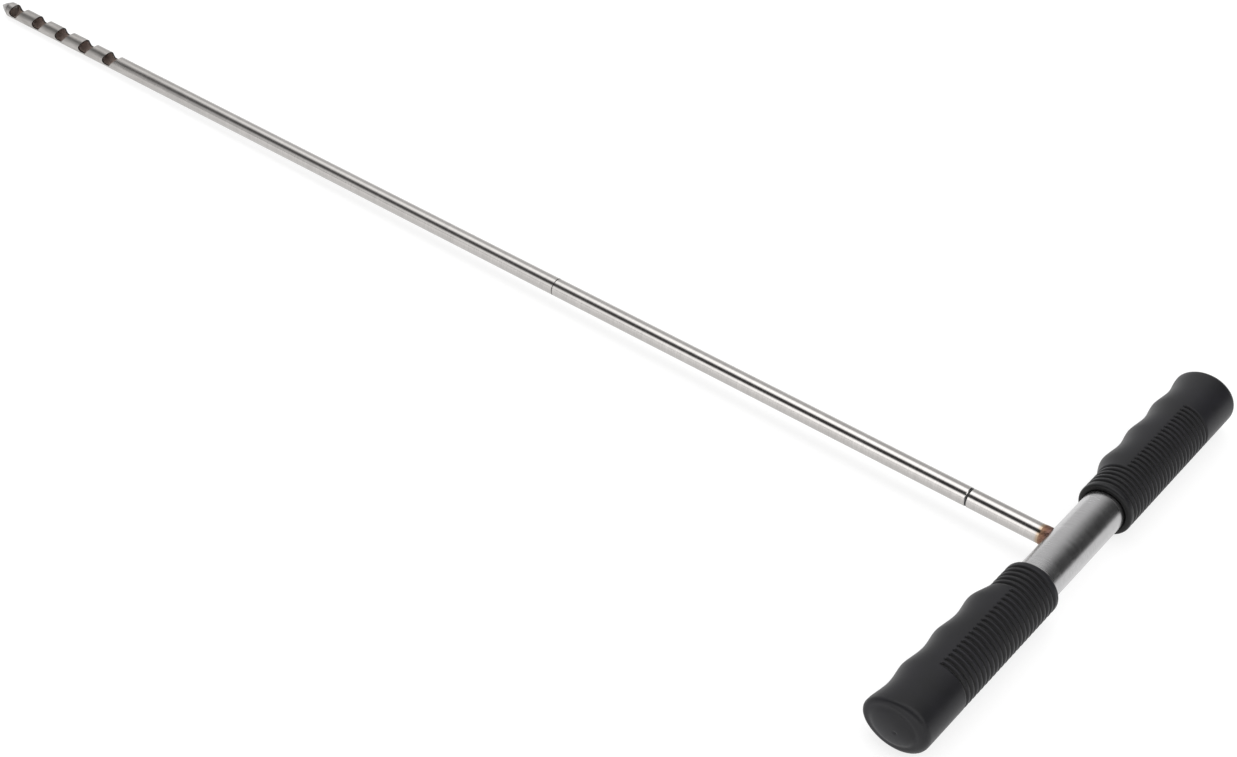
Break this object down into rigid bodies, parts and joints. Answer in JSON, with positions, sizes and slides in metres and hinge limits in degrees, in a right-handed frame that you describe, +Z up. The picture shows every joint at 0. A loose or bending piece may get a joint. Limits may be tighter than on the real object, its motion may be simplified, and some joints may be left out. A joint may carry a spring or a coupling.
{
  "type": "soil auger",
  "caption": "Take-apart T-handle soil auger: a crossbar with rubber grips, screw-joined steel shaft, and a sampling tube with side windows and a drive point.",
  "frame": {"origin": "on the ground under the middle of the auger's length, as it lies on its two grips and the foot of its sampling tube", "axes": "+X down the shaft towards the point (the shaft dips 0.66 degrees, because the grips are thicker than the rod), +Y along the crossbar to the left grip, +Z up, the way the sample windows open"},
  "size_m": [0.821, 0.291, 0.0282],
  "materials": {
    "shaft_steel": "satin stainless, ground round the shaft",
    "handle_steel": "satin stainless tube, smoother than the shaft",
    "turned_steel": "turned stainless",
    "tip_steel": "turned stainless point",
    "weld": "brown heat-tinted weld",
    "grip_rubber": "moulded black rubber, matt",
    "seal_rubber": "black rubber"
  },
  "bodies": {
    "handle": {"handle_tube": "handle_steel", "left_grip": "grip_rubber", "right_grip": "grip_rubber", "neck": "shaft_steel", "handle_weld": "weld"},
    "upper_joint_ring": {"upper_seal": "seal_rubber"},
    "rod": {"upper_rod": "shaft_steel", "upper_rod_thread": "turned_steel", "upper_rod_socket": "turned_steel"},
    "lower_joint_ring": {"lower_seal": "seal_rubber"},
    "sampler": {"sampling_tube": "shaft_steel", "sampling_tube_thread": "turned_steel", "chamber_plug": "turned_steel", "drive_tip": "tip_steel"}
  },
  "joints": [
    {"name": "upper_joint_travel", "type": "slide", "parent": "handle", "child": "upper_joint_ring", "axis": [0.9999, 0, -0.0114], "range_m": [0, 0.016]},
    {"name": "upper_joint_screw", "type": "hinge", "parent": "upper_joint_ring", "child": "rod", "pos_m": [-0.34273, 0, 0.01349], "axis": [0.9999, 0, -0.0114], "range_deg": [0, 5760]},
    {"name": "lower_joint_travel", "type": "slide", "parent": "rod", "child": "lower_joint_ring", "axis": [0.9999, 0, -0.0114], "range_m": [0, 0.016]},
    {"name": "lower_joint_screw", "type": "hinge", "parent": "lower_joint_ring", "child": "sampler", "pos_m": [-0.08044, 0, 0.01049], "axis": [0.9999, 0, -0.0114], "range_deg": [0, 5760]}
  ],
  "couplings": [
    {"joint": "upper_joint_travel", "follows": "upper_joint_screw", "m_per_rad": 0.00015915},
    {"joint": "lower_joint_travel", "follows": "lower_joint_screw", "m_per_rad": 0.00015915}
  ]
}
